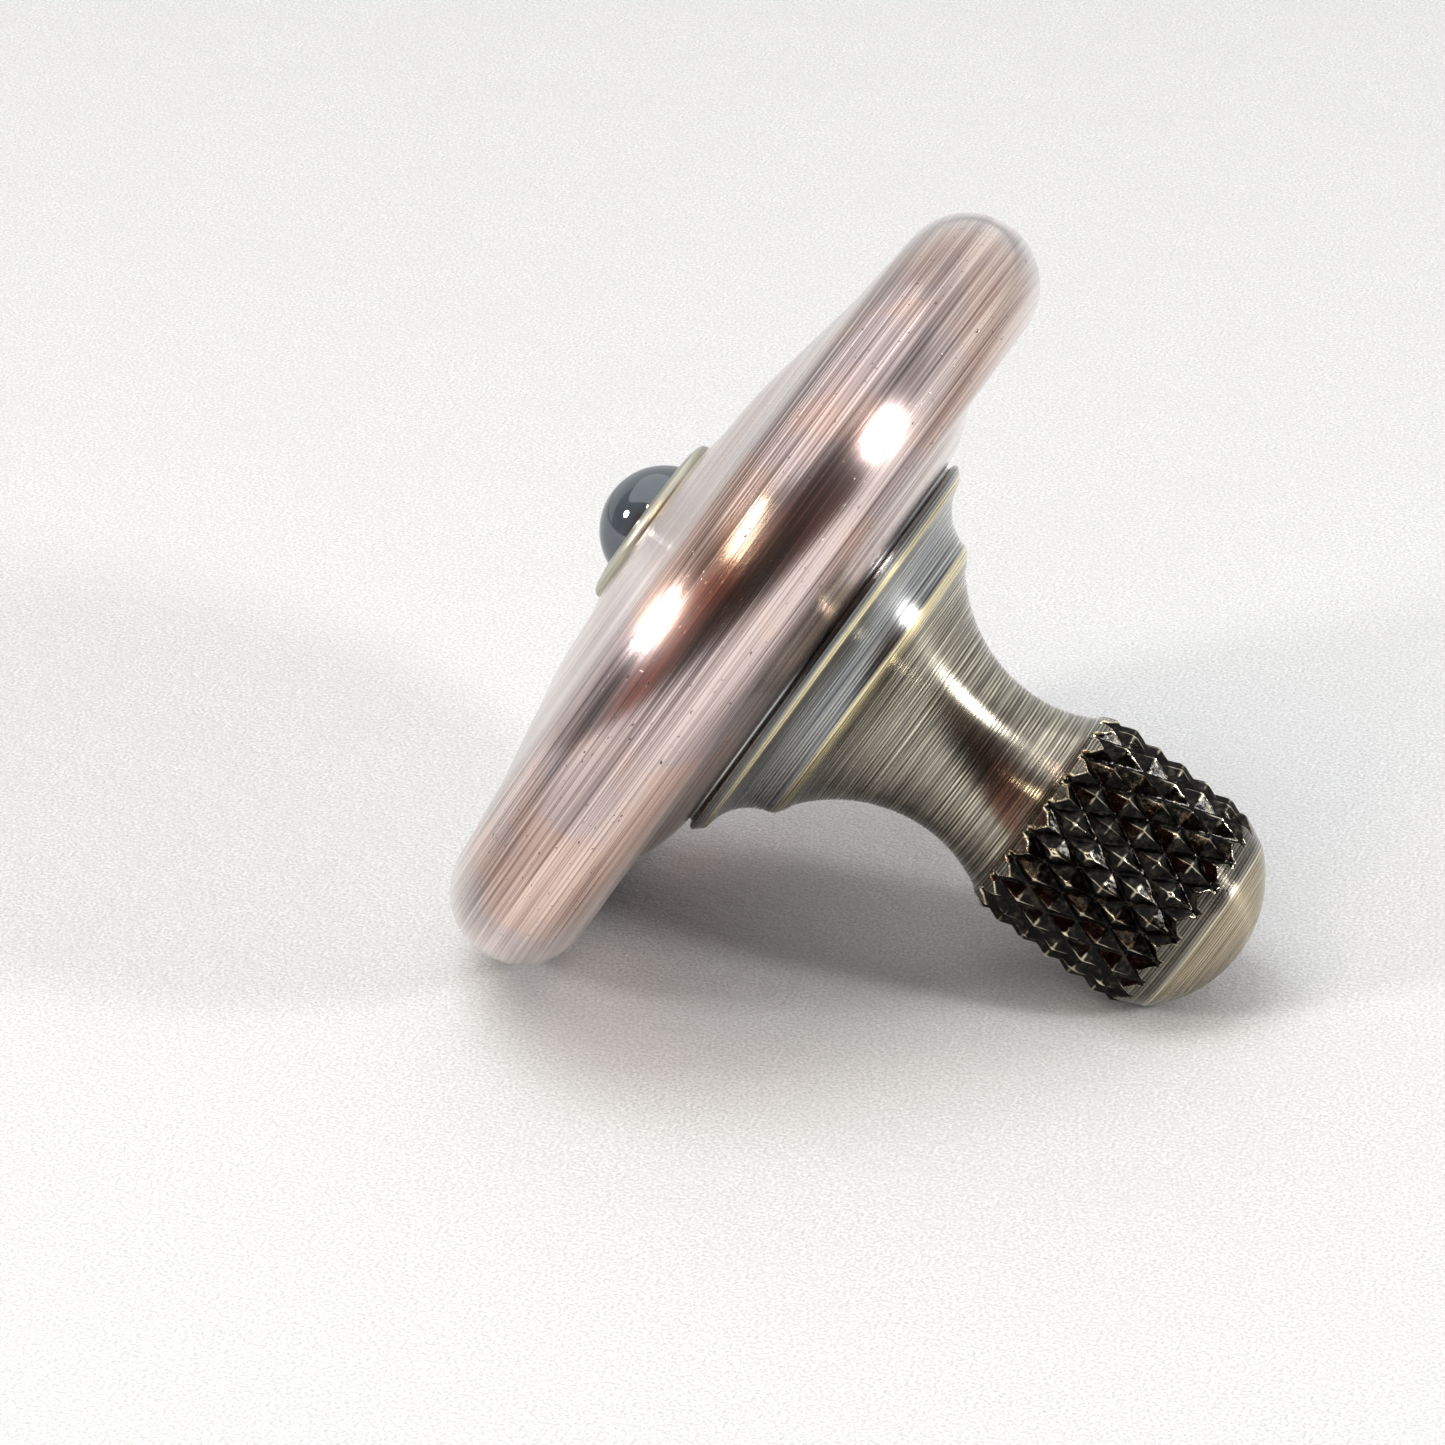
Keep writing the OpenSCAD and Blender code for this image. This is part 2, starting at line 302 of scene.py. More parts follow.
def handle_material():
    n = material_nodes("antique_brass")
    wear = n.attribute("wear")
    # the black of the knurled grip, which also holds painted shade at the grip's neck end and on the flange
    # wall
    knurl = n.attribute("knurl")
    polish = n.attribute("polish")
    smoky = n.attribute("smoky")
    uv = n.add("ShaderNodeUVMap", uv_map="Turn").outputs["UV"]
    along = n.add("ShaderNodeSeparateXYZ", {0: uv}).outputs["Y"]
    hair = n.noise(n.turn_vector(10.0, 1.0), 1.0, 3.0, 0.65)
    lines = n.noise(n.turn_vector(5.0, 0.6), 1.0, 3.0, 0.6)
    rings = n.noise(n.turn_vector(5.0, 0.08), 1.0, 3.0, 0.75)
    bands = n.noise(n.turn_vector(0.9, 0.9), 1.0, 2.0, 0.5)
    grain = n.noise(n.axis_vector(), 2.6, 5.0, 0.65)
    # tool marks of the turning, 0.17 mm apart
    drift = n.math("MULTIPLY", rings, 0.9)
    marks = n.math("SINE", n.math("MULTIPLY", n.math("ADD", n.math("DIVIDE", along, 0.17), drift), TURN))
    marks = n.math("MULTIPLY", marks, n.span(bands, 0.3, 0.6, 0.4, 1.0))
    tone = n.sum((hair, 1.1), (lines, 0.5), (rings, 1.4), (marks, 0.30), offset=-1.06)
    olive = n.ramp(tone, (0.05, (0.085, 0.078, 0.062)), (0.5, (0.30, 0.28, 0.235)),
                   (0.95, (0.84, 0.77, 0.60)))
    slate = n.ramp(tone, (0.05, (0.09, 0.094, 0.10)), (0.5, (0.34, 0.355, 0.37)), (1.0, (0.72, 0.72, 0.69)))
    gold = n.ramp(tone, (0.15, (0.30, 0.24, 0.12)), (0.5, (0.88, 0.76, 0.46)), (0.90, (1.0, 0.93, 0.68)))
    tan = n.ramp(tone, (0.05, (0.19, 0.155, 0.105)), (0.5, (0.38, 0.32, 0.22)), (0.95, (0.70, 0.62, 0.46)))
    body = n.mix(n.math("MULTIPLY", smoky, n.span(bands, 0.25, 0.6, 1.0, 0.75)), olive, slate)
    body = n.mix(n.math("MULTIPLY", wear, n.span(hair, 0.34, 0.56, 0.6, 1.0)), body, gold)
    body = n.mix(polish, body, tan)
    black = n.mix(n.span(grain, 0.45, 0.70), (0.011, 0.011, 0.011, 1), (0.050, 0.043, 0.034, 1))
    rust = n.math("MULTIPLY", n.span(n.noise(n.axis_vector(), 0.9, 3.0, 0.6), 0.62, 0.70, 0, 0.6),
                  n.span(grain, 0.5, 0.62))
    black = n.mix(rust, black, (0.075, 0.046, 0.032, 1))
    tip = n.span(n.sum((wear, 1.0), (grain, 0.5), offset=-0.25), 0.17, 0.60)
    shine = n.mix(n.span(wear, 0.45, 0.95), (0.62, 0.56, 0.41, 1), (0.97, 0.88, 0.60, 1))
    grip = n.mix(tip, black, shine)
    colour = n.mix(knurl, body, grip)
    rough = n.mix(knurl, n.span(tone, 0.2, 0.8, 0.30, 0.215), n.span(grain, 0.3, 0.7, 0.15, 0.28))
    rough = n.add("ShaderNodeRGBToBW", {0: rough}).outputs[0]
    turned_height = n.math("MULTIPLY", n.sum((hair, 0.5), (rings, 0.4), (marks, 0.16)),
                           n.math("SUBTRACT", 1.0, knurl))
    knurl_height = n.math("MULTIPLY", n.noise(n.axis_vector(), 5.0, 3.0, 0.5), n.math("MULTIPLY", knurl, 1.1))
    height = n.math("ADD", turned_height, knurl_height)
    return n.finish(colour, rough, height=height, bump=0.8, bump_distance=0.00002, anisotropic=0.88)


def collar_material():
    n = material_nodes("turned_brass")
    hair = n.noise(n.turn_vector(11.0, 0.8), 1.0, 3.0, 0.65)
    lines = n.noise(n.turn_vector(5.0, 0.4), 1.0, 3.0, 0.6)
    blotch = n.noise(n.turn_vector(1.6, 0.9), 1.0, 3.0, 0.5)
    tone = n.sum((hair, 1.4), (lines, 1.0), offset=-0.65)
    pale = n.ramp(tone, (0.05, (0.20, 0.19, 0.15)), (0.5, (0.42, 0.40, 0.33)), (0.95, (0.74, 0.71, 0.60)))
    olive = n.ramp(tone, (0.05, (0.20, 0.19, 0.145)), (0.5, (0.40, 0.385, 0.30)),
                   (0.95, (0.74, 0.70, 0.56)))
    colour = n.mix(n.span(blotch, 0.42, 0.62), pale, olive)
    return n.finish(colour, n.span(tone, 0.2, 0.8, 0.46, 0.34), height=lines, bump=0.3,
                    bump_distance=0.000003, anisotropic=0.3)


def steel_material(name, tint, rough_low, rough_high, patches=0.15):
    n = material_nodes(name)
    pos = n.axis_vector()
    parts = n.add("ShaderNodeSeparateXYZ", {0: pos}).outputs
    x_squared = n.math("MULTIPLY", parts["X"], parts["X"])
    y_squared = n.math("MULTIPLY", parts["Y"], parts["Y"])
    radial = n.math("SQRT", n.math("ADD", x_squared, y_squared))
    # lines of the grinding run round the axis, so the noise changes with radius and height alone
    vector = n.add("ShaderNodeCombineXYZ", {"X": n.math("MULTIPLY", radial, 14.0),
                                            "Y": n.math("MULTIPLY", parts["Z"], 14.0)}).outputs[0]
    ground = n.noise(vector, 1.0, 3.0, 0.6)
    blotch = n.noise(pos, 1.3, 4.0, 0.6)
    darker = tuple(0.62 * c for c in tint) + (1,)
    worn = n.math("ADD", n.span(ground, 0.45, 0.7, 0, 0.6), n.span(blotch, 0.45, 0.7, 0, patches * 2),
                  clamp=True)
    colour = n.mix(worn, tint + (1,), darker)
    rough = n.math("ADD", n.span(ground, 0.3, 0.7, rough_low, rough_high),
                   n.span(blotch, 0.4, 0.7, 0, patches * 0.5))
    return n.finish(colour, rough, height=ground, bump=0.3, bump_distance=0.00001)


def ceramic_material():
    n = material_nodes("polished_silicon_nitride")
    pos = n.axis_vector()
    cloud = n.noise(pos, 0.9, 5.0, 0.6)
    speck = n.noise(pos, 9.0, 2.0, 0.5)
    colour = n.mix(n.span(cloud, 0.35, 0.65), (0.013, 0.017, 0.024, 1), (0.022, 0.027, 0.036, 1))
    colour = n.mix(n.span(speck, 0.66, 0.72, 0, 0.5), colour, (0.05, 0.055, 0.062, 1))
    rough = n.span(cloud, 0.3, 0.7, 0.03, 0.06)
    return n.finish(colour, rough, metallic=0.0, height=speck, bump=0.03, bump_distance=0.000004,
                    **{"IOR": 2.05, "Specular Tint": (0.90, 0.96, 1.0, 1)})


def cage_material():
    n = material_nodes("moulded_cage_polymer")
    pos = n.axis_vector()
    grain = n.noise(pos, 5.0, 5.0, 0.65)
    cloud = n.noise(pos, 0.8, 3.0, 0.5)
    colour = n.mix(n.span(cloud, 0.35, 0.65), (0.52, 0.40, 0.22, 1), (0.63, 0.52, 0.32, 1))
    colour = n.mix(n.span(grain, 0.55, 0.7, 0, 0.35), colour, (0.40, 0.30, 0.16, 1))
    return n.finish(colour, n.span(grain, 0.3, 0.7, 0.42, 0.62), metallic=0.0, height=grain, bump=0.25,
                    bump_distance=0.00002)


def floor_material():
    n = material_nodes("pale_felt")
    pos = n.add("ShaderNodeTexCoord").outputs["Object"]
    fibre = n.noise(pos, 6000.0, 3.0, 0.7)
    tuft = n.noise(pos, 1100.0, 3.0, 0.6)
    cloud = n.noise(pos, 130.0, 4.0, 0.6)
    colour = n.mix(n.span(fibre, 0.35, 0.65), (0.340, 0.343, 0.346, 1), (0.545, 0.549, 0.552, 1))
    colour = n.mix(n.span(tuft, 0.35, 0.65, 0, 0.30), colour, (0.405, 0.408, 0.412, 1))
    colour = n.mix(n.span(cloud, 0.35, 0.65, 0, 0.22), colour, (0.415, 0.417, 0.42, 1))
    return n.finish(colour, 0.9, metallic=0.0, height=n.sum((fibre, 0.6), (tuft, 1.0), (cloud, 2.0)),
                    bump=0.6, bump_distance=0.00016)


# ---------- flywheel ----------

RIM_C, RIM_R = 17.2, 3.3
HUB_TOP = 4.16
RECESS_R, RECESS_Z = 10.1, 3.86


def flywheel_profile():
    web, hub_r, hub_c = 3.2, 7, 9.4
    seat_r, groove_r, shoulder_r, seat_z = 6.36, 6.73, 5.7, 2.38
    hub_rise = web - HUB_TOP + hub_r
    hub_end = hub_c + math.sqrt(hub_r ** 2 - hub_rise ** 2)
    points = [(4.36, -2.4), (4.36, -5.0)]
    points += arc(4.46, -5.02, 0.1, 180, 260, 6)
    underside = [(4.5, -5.088), (5.3, -4.95), (8, -4.75), (14, -3.64), (15.6, -3.5), (16.6, -3.335)]
    points += soften(underside, 0.7, 7)
    points += arc(RIM_C, 0, RIM_R, -98, 93, 116)
    points += [(15.4, web), (hub_end + 0.3, web)]
    points += arc(hub_c, HUB_TOP - hub_r, hub_r, math.degrees(math.asin(hub_rise / hub_r)), 90, 36)
    # the rabbet for the handle's flange, then the seat, ring groove and shoulder of the bearing
    points = [p for p in points if not (p[0] < RECESS_R + 0.08 and p[1] > 3.5)]
    points += arc(RECESS_R + 0.06, HUB_TOP - 0.095, 0.06, 80, 180, 5)
    points += [(RECESS_R, RECESS_Z + 0.02), (RECESS_R - 0.02, RECESS_Z), (seat_r + 0.2, RECESS_Z)]
    points += [(seat_r, RECESS_Z - 0.2), (seat_r, 3.285)]
    points += [(groove_r, 3.28), (groove_r, seat_z + 0.005), (seat_r, seat_z), (seat_r, -seat_z)]
    points += [(shoulder_r, -seat_z - 0.005), (shoulder_r, -2.68), (4.42, -2.68)]
    return without_repeats(refine(points, 0.45), 0.01)


flywheel = turned("flywheel", flywheel_profile(), 384, closed=True, sharp=32)
flywheel.data.materials.append(copper_material())
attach(flywheel, "flywheel")
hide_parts("copper_flywheel")

# ---------- handle ----------

# the knurl is a lattice of diamonds whose half pitches are KNURL_STEP high and TURN / 42 wide
KNURL_COUNT = 21
KNURL_ROWS = 12
KNURL_STEP = 1.33
KNURL_Z = 15.61
KNURL_TURN = math.radians(-1.3)
TIP_R, ROOT_R = 5.47, 4.93
# the first row's burr and the plain shoulder above the last row
FIRST_ROW_TOP, SHOULDER_Z = 18.2, 24.2
PER_CELL = 16
SEGMENTS = 2 * KNURL_COUNT * PER_CELL
CREASE = (4.56, 25.98)
DOME_R = 6.0
GRIP = [(4.70, 16.36), (5.02, 16.72), (5.32, 17.4), (5.50, 17.85), (5.50, 24.0), (5.3, 24.5), CREASE]

rng = np.random.default_rng(7)
tip_wear = np.abs(rng.normal(0.03, 0.02, (2 * KNURL_COUNT, KNURL_ROWS)))
tip_wear[rng.random(tip_wear.shape) < 0.05] += 0.09
tip_dent = np.where(rng.random(tip_wear.shape) < 0.35, rng.uniform(0.02, 0.05, tip_wear.shape), 0.0)
tip_shine = rng.random(tip_wear.shape) ** 1.3
ridge_shine = rng.uniform(0.5, 0.9, tip_wear.shape)


def smooth_min(a, b, k):
    """The lower of two surfaces, blended over k where they meet."""
    h = np.clip(0.5 + 0.5 * (b - a) / k, 0, 1)
    return b + (a - b) * h - k * h * (1 - h)


def value_noise(a, b, seed, size=64):
    """Smooth repeatable noise on two numbers."""
    table = np.random.default_rng(seed).random((size, size))
    i, j = np.floor(a).astype(int), np.floor(b).astype(int)
    s, t = a - i, b - j
    s, t = s * s * (3 - 2 * s), t * t * (3 - 2 * t)
    pick = lambda x, y: table[x % size, y % size]
    low = pick(i, j) * (1 - s) + pick(i + 1, j) * s
    high = pick(i, j + 1) * (1 - s) + pick(i + 1, j + 1) * s
    return low * (1 - t) + high * t


def knurl_fields(z, angles):
    """Distances to the two groove families in half pitches, and column and row in the lattice."""
    col = (angles[None, :] - KNURL_TURN) * 2 * KNURL_COUNT / TURN
    row = (z - KNURL_Z) / KNURL_STEP
    p, q = (row + col + 1) / 2, (row - col + 1) / 2
    near = lambda x: np.abs(x - np.round(x)) * 2
    return near(p), near(q), col + 0 * row, row + 0 * col


def of_point(table, col, row):
    """The table's value for the diamond that each place belongs to, and the offset from its point."""
    ci, ri = np.floor(col + 0.5).astype(int), np.floor(row + 0.5).astype(int)
    odd = (ci + ri) % 2 != 0
    dc, dr = col - ci, row - ri
    ci = np.where(odd & (np.abs(dc) >= np.abs(dr)), ci + np.where(dc >= 0, 1, -1), ci)
    ri = np.where(odd & (np.abs(dc) < np.abs(dr)), ri + np.where(dr >= 0, 1, -1), ri)
    return table[ci % (2 * KNURL_COUNT), np.clip(ri, 0, KNURL_ROWS - 1)], col - ci, row - ri


def knurl_surface(z, angles):
    """Radius of the cut knurl: two groove families, flattened and dented points, a little waviness."""
    a, b, col, row = knurl_fields(z, angles)
    depth = TIP_R - ROOT_R
    ramp = lambda d: ROOT_R + depth * (np.sqrt(d * d + 0.0025) - 0.05)
    r = smooth_min(ramp(a), ramp(b), 0.03)
    wear = of_point(tip_wear, col, row)[0]
    r = smooth_min(r, np.full_like(r, TIP_R) - wear, 0.02)
    dent, dc, dr = of_point(tip_dent, col, row)
    r = r - dent * np.exp(-((dc * 0.82) ** 2 + (dr * KNURL_STEP) ** 2) / 0.011)
    return r + 0.016 * (value_noise(col * 5, row * 6, 3) - 0.5)


def blank_radius(z):
    """Radius of the grip before knurling."""
    return np.interp(z, [p[1] for p in GRIP], [p[0] for p in GRIP])


def handle_radius(r, z, angles):
    """The turned radius, with the knurl cut into the grip and a burr along its first row."""
    mask = (z > GRIP[0][1] - 1e-6) & (z < CREASE[1] + 1e-6)
    cut = knurl_surface(z, angles)
    first_row = np.clip((FIRST_ROW_TOP - z) / 0.4, 0, 1) * (z > 16.5)
    lip = 0.035 * np.exp(-((r - cut) / 0.045) ** 2) * first_row
    return np.where(mask, smooth_min(r, cut, 0.015) + lip, r)


def handle_rows():
    """The handle's section from the screw hole, past flange, cove, tier, neck and grip, to the dome."""
    flange_r, flange_z = 10.28, 4.28
    neck_r, neck_z, flare_r, upper_r = 3.93, 13.3, 7.3, 6.35
    rows = [(2.55, 9.4), (2.55, 3.05), (3.0, 2.62), (3.1, 2.58), (4.04, 2.58)]
    rows += arc(4.04, 2.64, 0.06, -90, 0, 4)
    rows += [(4.1, 3.95), (4.14, 3.98), (9.91, 3.98), (9.95, 4.02), (9.95, flange_z - 0.01)]
    rows += arc(flange_r - 0.25, flange_z + 0.25, 0.25, -88, 0, 12)
    flare_c, upper_c = neck_r + flare_r, neck_r + upper_r
    top = math.degrees(math.asin((7.64 - neck_z) / flare_r))
    cove = arc(9.95, 7.49, 2.465, -92, -161, 40)
    flare = arc(flare_c, neck_z, flare_r, 180 - top, 180, 60)
    rows += soften([(flange_r, flange_z + 0.25), (flange_r, 4.55), (9.84, 5.01), cove[3]], 0.06)[1:]
    rows += cove[4:-1]
    rows += soften([cove[-1], (7.6, 6.8), (7.54, 7.0), (7.38, 7.2), (6.95, 7.49), flare[0]], 0.08)
    rows += flare[1:]
    high = math.degrees(math.asin((GRIP[0][1] - neck_z) / upper_r))
    rows += arc(upper_c, neck_z, upper_r, 180, 180 - high, 30)[1:]
    rows = without_repeats(refine(rows, 0.25))
    while rows[-1][1] > GRIP[0][1] - 0.02:
        rows.pop()
    dz = KNURL_STEP / PER_CELL
    first = math.ceil((GRIP[0][1] - KNURL_Z) / dz)
    last = math.floor((CREASE[1] - KNURL_Z) / dz)
    rows.append(GRIP[0])
    # rows of the grip lie on the lattice, so that creases and points fall on vertices
    for k in range(first, last + 1):
        z = KNURL_Z + k * dz
        if z - rows[-1][1] > 0.02 and CREASE[1] - z > 0.02:
            rows.append((float(blank_radius(z)), z))
    start = math.degrees(math.acos(CREASE[0] / DOME_R))
    dome_c = CREASE[1] - math.sqrt(DOME_R ** 2 - CREASE[0] ** 2)
    rows += arc(0, dome_c, DOME_R, start, 89.6, 34)
    return rows


HANDLE_ROWS = handle_rows()


def groove_split(i, j):
    """Cut quads on the knurl along the groove direction of their cell."""
    z = np.array([p[1] for p in HANDLE_ROWS])
    mid = (z[i] + z[np.minimum(i + 1, len(z) - 1)]) / 2
    cell_row = np.floor((mid - KNURL_Z) / KNURL_STEP).astype(int)
    cell_col = j // PER_CELL
    inside = (mid > GRIP[0][1]) & (mid < CREASE[1])
    return np.where(inside, np.where((cell_row + cell_col) % 2 == 0, 2, 1), 0)


def band(z, centre, width):
    """A soft peak at centre."""
    return np.exp(-((z - centre) / width) ** 2)


def box(z, low, high, blur=0.05):
    """1 between low and high, and 0 beyond them."""
    return np.clip((z - low) / blur, 0, 1) * np.clip((high - z) / blur, 0, 1)


def on_grip(z):
    return (z >= GRIP[0][1]) & (z <= CREASE[1])


def wear_field(r, z, angles):
    """How far the dark finish has rubbed off: edges of the turned part, ridges and points of the knurl."""
    wide = z + 0 * r
    edge = 0.95 * box(wide, 4.74, 5.08) * (r > 8.9) + 0.95 * box(wide, 6.92, 7.42) * (r > 6.7)
    edge += 0.5 * band(wide, 25.99, 0.06)
    a, b, col, row = knurl_fields(wide, angles)
    glow = of_point(ridge_shine, col, row)[0]
    ridge = glow * np.clip(1 - np.abs(a - b) / 0.22, 0, 1) * np.clip((np.minimum(a, b) - 0.25) / 0.4, 0, 1)
    shine = of_point(tip_shine, col, row)[0]
    flat = of_point(tip_wear, col, row)[0]
    reach = 0.86 - 1.3 * flat
    point = np.clip((np.minimum(a, b) - reach) / 0.12, 0, 1)
    cut = knurl_surface(wide, angles)
    deep = blank_radius(wide) - cut
    burr = np.exp(-(deep / 0.055) ** 2) * np.clip((FIRST_ROW_TOP - wide) / 0.4, 0, 1) * (deep > -0.012)
    burr += 0.4 * np.exp(-(deep / 0.045) ** 2) * (wide > SHOULDER_Z) * (deep > -0.012)
    grip = np.maximum(0.62 * ridge, (0.35 + 0.65 * shine) * point)
    grip = np.where(cut < blank_radius(wide), grip, 0)
    grip = np.maximum(grip, np.clip(burr, 0, 1))
    return np.where(on_grip(wide), grip, edge)


def knurl_field(r, z, angles):
    """Where the black of the knurled grip is: full in the cuts and part on the oxidised shoulder.
    Painted shade: part black at the grip's neck end and on the flange wall above the joint.
    """
    wide = z + 0 * r
    cut = knurl_surface(wide, angles)
    # the shoulder above the grip is oxidised; painted shade darkens the grip's neck end, 16.3 to 18 mm, part
    # way to black
    oxide_and_painted_shade = 0.68 * box(wide, SHOULDER_Z, 25.95, 0.3) + 0.5 * box(wide, 16.3, 18.0, 0.4)
    # painted shade: off the grip, the flange wall above the joint is darkened part way to black
    return np.where(on_grip(wide), np.clip((blank_radius(wide) - cut) / 0.04 + 0.6, oxide_and_painted_shade, 1),
                    0.55 * box(wide, 4.0, 4.74) * (r > 10.0))


def polish_field(r, z, angles):
    """The domed end, rubbed to a lighter tan."""
    return np.clip((z + 0 * r - CREASE[1]) / 0.05, 0, 1)


def smoky_field(r, z, angles):
    """The darker blue-grey of the flange wall, the cove and the tier wall."""
    wide = z + 0 * r
    return np.clip((7.3 - wide) / 0.3, 0, 1)


handle = turned("handle", HANDLE_ROWS, SEGMENTS, radius=handle_radius, split=groove_split, sharp=38,
                attributes={"wear": wear_field, "knurl": knurl_field, "polish": polish_field,
                            "smoky": smoky_field}, start=KNURL_TURN)
handle.data.materials.append(handle_material())
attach(handle, "handle")
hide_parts("knurled_handle")

# ---------- tip ----------

BALL_Z, BALL_R = -4.555, 3.0


def collar_profile():
    """The tip collar's section from the ball's seat to its clamping face."""
    pocket = BALL_R + 0.01
    mouth = math.degrees(math.acos(2.775 / pocket))
    points = arc(0, BALL_Z, pocket, 89.5, -mouth, 40)
    points += soften([points[-1], (2.88, -5.73), (3.5, -5.66), (4.0, -5.56), (4.18, -5.42), (4.24, -5.25),
                      (4.24, -2.95)], 0.05)[1:]
    points += arc(4.14, -2.95, 0.1, 0, 90, 5)
    points += [(4.0, -2.85), (4.0, -2.62), (3.96, -2.58)]
    points += [(3.165, -2.58), (3.165, 2.42), (3.1, 2.5), (2.5, 2.5)]
    return points


THREAD_PITCH, THREAD_START, THREAD_END = 0.8, 2.6, 8.35


def thread_radius(r, z, angles):
    """A right-hand M5 thread cut into the rows between its start and its end."""
    turns = (z - THREAD_START) / THREAD_PITCH - angles / TURN
    saw = np.abs(turns - np.round(turns)) * 2
    depth = 0.43 * np.clip((z - THREAD_START) / 0.3, 0, 1) * (z < THREAD_END)
    cut = r - depth * np.clip(1.12 - 1.25 * saw, 0, 1)
    return np.where((z > THREAD_START) & (z < THREAD_END + 0.2) & (r > 2.0), cut, r)


def screw_rows():
    threads = [(2.5, z) for z in np.arange(THREAD_START, THREAD_END, 0.07)]
    return collar_profile() + threads + [(2.5, 8.38), (2.25, 8.6), (0.02, 8.6)]


screw = turned("tip_collar", without_repeats(refine(screw_rows(), 0.3)), 192, sharp=32,
               radius=thread_radius)
screw.data.materials.append(collar_material())
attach(screw, "handle")
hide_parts("tip_screw")

ball = turned("ceramic_ball", arc(0, BALL_Z, BALL_R, -89.8, 89.8, 128), 256, sharp=60)
ball.data.materials.append(ceramic_material())
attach(ball, "handle")
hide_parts("tip_ball")

# ---------- bearing and fasteners: CAD nodes with their own finishes ----------

ground_steel = steel_material("ground_bearing_steel", (0.66, 0.67, 0.69), 0.14, 0.26)
pressed_steel = steel_material("pressed_shield_steel", (0.60, 0.61, 0.63), 0.28, 0.42)
shim_steel = steel_material("ground_shim_steel", (0.62, 0.62, 0.62), 0.22, 0.34)
spring_steel = steel_material("phosphated_spring_steel", (0.20, 0.20, 0.21), 0.38, 0.55, 0.3)
finishes = {"inner_race": ground_steel, "outer_race": ground_steel,
            "shield_handle_side": pressed_steel, "shield_tip_side": pressed_steel,
            "race_shims": shim_steel, "shield_wires": spring_steel, "retaining_ring": spring_steel,
            "bearing_cage": cage_material(), "bearing_balls": ceramic_material()}
for node, material in finishes.items():
    mesh = frame["nodes"][node].data
    mesh.materials.clear()
    mesh.materials.append(material)

# ---------- floor, light and camera ----------

bpy.ops.mesh.primitive_plane_add(size=6.0)
floor = bpy.context.object
floor.name = "floor"
floor.data.materials.append(floor_material())


def direction(azimuth, elevation):
    """The unit vector at these angles in degrees. Azimuth 0 is -Y and 90 is +X."""
    a, e = math.radians(azimuth), math.radians(elevation)
    return Vector((math.sin(a) * math.cos(e), -math.cos(a) * math.cos(e), math.sin(e)))


def lamp(name, azimuth, elevation, distance, size, radiance, colour, roll=0.0):
    """An elliptical light facing the object, with its radiance set rather than its power."""
    data = bpy.data.lights.new(name, "AREA")
    data.shape = "ELLIPSE"
    data.size, data.size_y = size
    data.energy = radiance * math.pi * math.pi * size[0] * size[1] / 4
    data.color = colour
    obj = bpy.data.objects.new(name, data)
    bpy.context.collection.objects.link(obj)
    obj.location = axis_origin + direction(azimuth, elevation) * distance
    obj.rotation_euler = (direction(azimuth, elevation).to_track_quat("Z", "Y")
                          @ Matrix.Rotation(math.radians(roll), 3, "Z").to_quaternion()).to_euler()
    obj.visible_camera = False
    return obj


LAMP_WHITE, SKY_WHITE, BULB_WHITE = (1.0, 0.99, 0.97), (0.99, 1.0, 1.0), (1.0, 0.84, 0.60)

# two lamps and a warm one that glint on the metal
for name, azimuth, elevation, radiance in (("right_lamp", 86, 28, 130.0), ("left_lamp", -71, 26, 108.0)):
    glint = lamp(name, azimuth, elevation, 0.6, (0.105, 0.105), radiance, LAMP_WHITE)
    glint.visible_diffuse = False
lamp("warm_lamp", -30, 52, 0.6, (0.24, 0.055), 22.0, BULB_WHITE, roll=-45)
# lights for the floor alone: two that throw the side shadows, and the soft light from above and in
# front. What the metal reflects overhead is the panel of the room.
for name, azimuth, elevation, radiance in (("right_fill", 77, 25, 84.0), ("left_fill", -42, 25, 68.0)):
    fill = lamp(name, azimuth, elevation, 0.6, (0.11, 0.11), radiance, LAMP_WHITE)
    fill.visible_glossy = False
for name, azimuth, elevation, radiance in (("overhead_softbox", -42, 74, 8.2),
                                           ("front_softbox", 10, 42, 2.9)):
    softbox = lamp(name, azimuth, elevation, 1.0, (0.60, 0.60), radiance, SKY_WHITE)
    softbox.visible_glossy = False


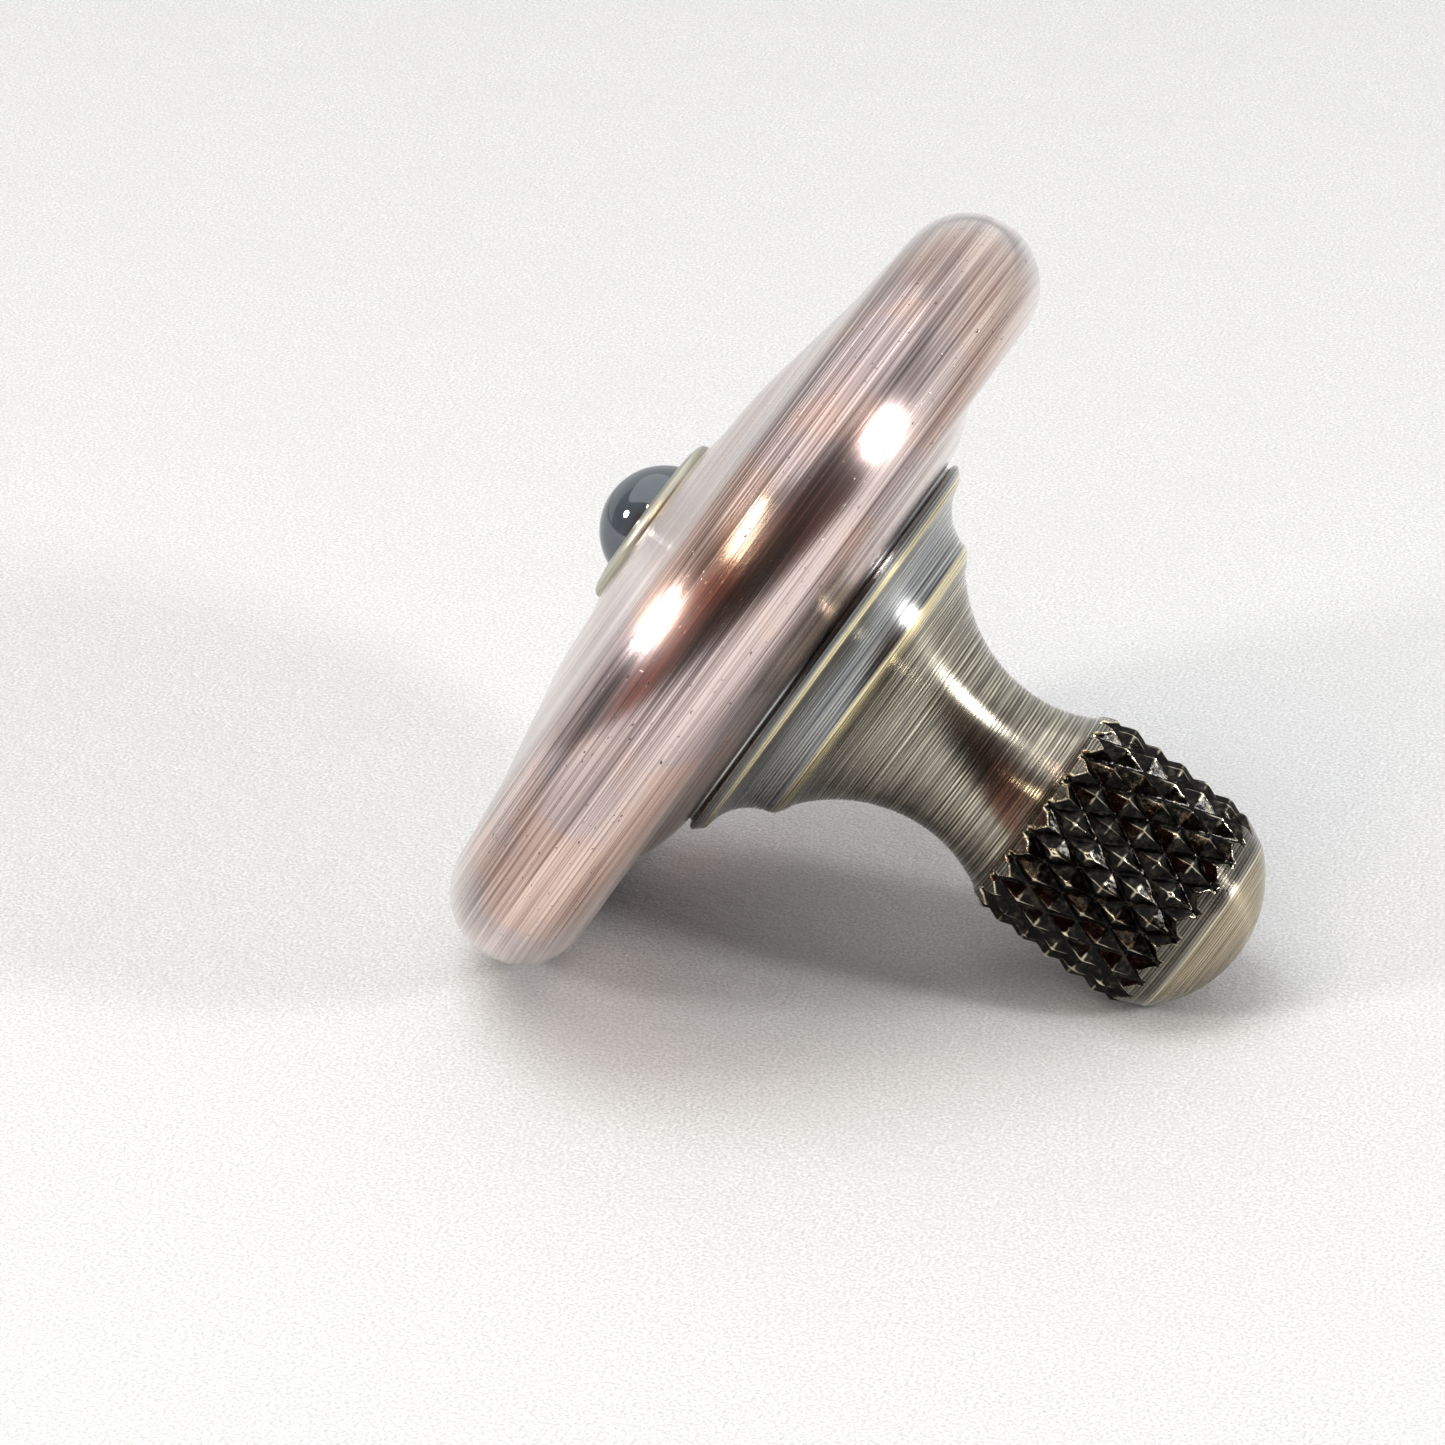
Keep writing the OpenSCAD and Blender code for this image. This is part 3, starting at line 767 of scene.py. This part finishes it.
def room():
    """What the metal reflects: a pale sweep behind, a bright panel overhead, grey walls at the
    sides, and a dark opening towards the camera with a red-brown edge. Azimuths are measured from
    the camera's side. The camera itself sees a plain pale backdrop.
    """
    world = bpy.data.worlds.new("room")
    bpy.context.scene.world = world
    n = Nodes(world)
    ray = n.add("ShaderNodeTexCoord").outputs["Generated"]

    def along(vector):
        return n.add("ShaderNodeVectorMath", {0: ray, 1: vector}, operation="DOT_PRODUCT").outputs["Value"]

    front, side = direction(17, 0), direction(107, 0)
    azimuth = n.math("DEGREES", n.math("ARCTAN2", along(side), along(front)))
    elevation = n.math("DEGREES", n.math("ARCSINE", along(Vector((0, 0, 1)))))
    sweep = n.span(along(Vector((0.045, 0.856, -0.514)).normalized()), -0.05, 0.06)

    # the panel, a rounded square
    across = n.math("POWER", n.math("DIVIDE", n.math("ADD", along(direction(-25, 0)), 0.06), 0.50), 4.0)
    height = n.math("POWER", n.math("DIVIDE", along(direction(65, 18)), 0.56), 4.0)
    panel = n.span(n.math("ADD", across, height), 0.85, 1.25, 1, 0)
    panel = n.math("MULTIPLY", panel, n.math("GREATER_THAN", elevation, 0))

    right_wall = n.span(azimuth, 55, 85)
    colour = n.mix(right_wall, (0.42, 0.42, 0.425, 1), (0.46, 0.465, 0.47, 1))
    colour = n.mix(sweep, colour, (0.84, 0.85, 0.85, 1))
    colour = n.mix(panel, colour, (1.40, 1.41, 1.43, 1))

    # the opening, under a roof that rises to the right; its black middle is an uneven ellipse
    opening = n.math("MULTIPLY", n.span(azimuth, -78, -56), n.span(azimuth, 62, 74, 1, 0))
    roof = n.add("ShaderNodeMapRange", {"Value": azimuth, "From Min": -40.0, "From Max": 10.0,
                                        "To Min": 44.0, "To Max": 66.0}).outputs["Result"]
    opening = n.math("MULTIPLY", opening, n.span(n.math("SUBTRACT", elevation, roof), -8, 6, 1, 0))
    across = n.math("DIVIDE", n.math("SUBTRACT", azimuth, 4), 46)
    height = n.math("DIVIDE", n.math("SUBTRACT", elevation, 14), 34)
    away = n.math("SQRT", n.math("ADD", n.math("MULTIPLY", across, across),
                                 n.math("MULTIPLY", height, height)))
    away = n.sum((away, 1.0), (n.noise(ray, 3.0, 2.0, 0.5), 1.2), offset=-0.6)
    stain = n.span(n.math("ADD", azimuth, elevation), -10, 80, 1, 0)
    edge = n.mix(stain, (0.09, 0.06, 0.055, 1), (0.30, 0.085, 0.053, 1))
    dark = n.mix(n.span(away, 0.60, 0.95), (0.004, 0.003, 0.003, 1), edge)
    colour = n.mix(opening, colour, dark)

    sky = n.add("ShaderNodeBackground", {"Color": colour, "Strength": 1.0})
    backdrop = n.add("ShaderNodeBackground", {"Color": (0.86, 0.87, 0.87, 1), "Strength": 1.0})
    seen = n.add("ShaderNodeLightPath").outputs["Is Camera Ray"]
    mixed = n.add("ShaderNodeMixShader", {0: seen, 1: sky.outputs[0], 2: backdrop.outputs[0]})
    n.add("ShaderNodeOutputWorld", {"Surface": mixed.outputs[0]})


room()

camera_data = bpy.data.cameras.new("camera")
camera_data.sensor_width = 36
camera_data.lens = 160.15
camera_data.clip_start = 0.01
camera_data.clip_end = 20
camera = bpy.data.objects.new("camera", camera_data)
bpy.context.collection.objects.link(camera)
# 0.3 m from the object; place, direction and lens were solved from the photo's outline
camera.location = (0.07208, -0.25871, 0.13422)
camera.rotation_euler = direction(17.02, 24.49).to_track_quat("Z", "Y").to_euler()
bpy.context.scene.camera = camera
bpy.context.scene.view_settings.view_transform = "Standard"
bpy.context.scene.view_settings.exposure = 0.0
